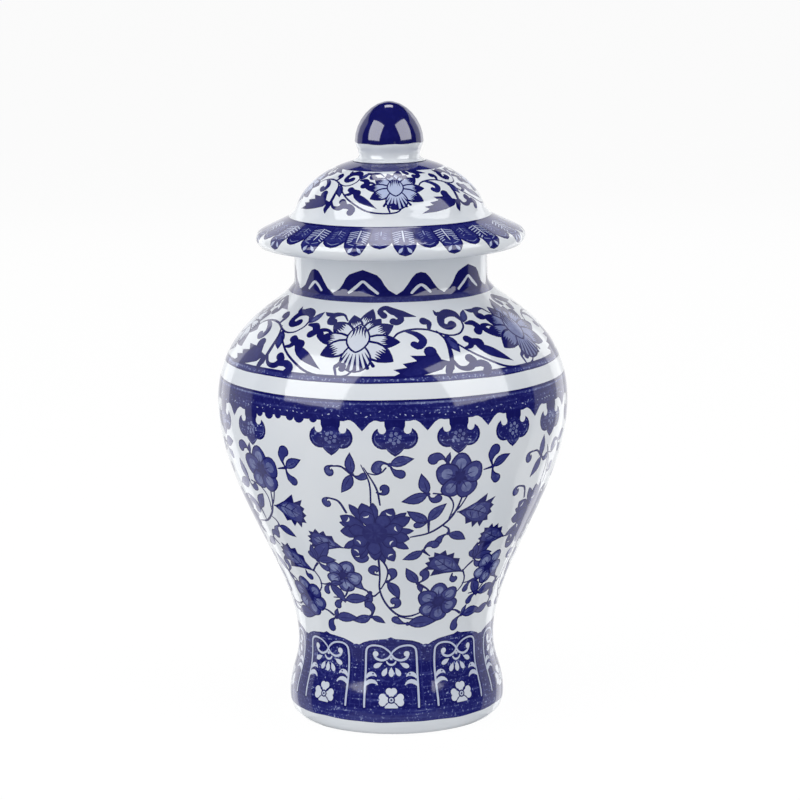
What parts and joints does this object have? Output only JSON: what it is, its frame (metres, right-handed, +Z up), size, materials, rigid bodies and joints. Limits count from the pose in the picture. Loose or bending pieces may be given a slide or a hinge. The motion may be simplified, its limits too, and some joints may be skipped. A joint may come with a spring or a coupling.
{
  "type": "lidded ginger jar",
  "caption": "Baluster porcelain temple jar with a domed, wide-brimmed lift-off lid, a round knob and blue underglaze scroll decoration.",
  "frame": {"origin": "centre of the foot ring's resting plane", "axes": "+Z up along the jar's axis of revolution; +X and +Y are any two square directions, with -Y facing the viewer"},
  "size_m": [0.14, 0.14, 0.2479],
  "materials": {
    "painted_porcelain": "clear glossy glaze over white porcelain with cobalt blue underglaze decoration",
    "cobalt_glaze": "glossy dark cobalt glaze"
  },
  "bodies": {
    "jar": {"jar_body": "painted_porcelain"},
    "lid": {"lid_cover": "painted_porcelain", "lid_knob": "cobalt_glaze"}
  },
  "joints": [
    {"name": "lid_lift", "type": "slide", "parent": "jar", "child": "lid", "axis": [0, 0, 1], "range_m": [0, 0.12]}
  ]
}
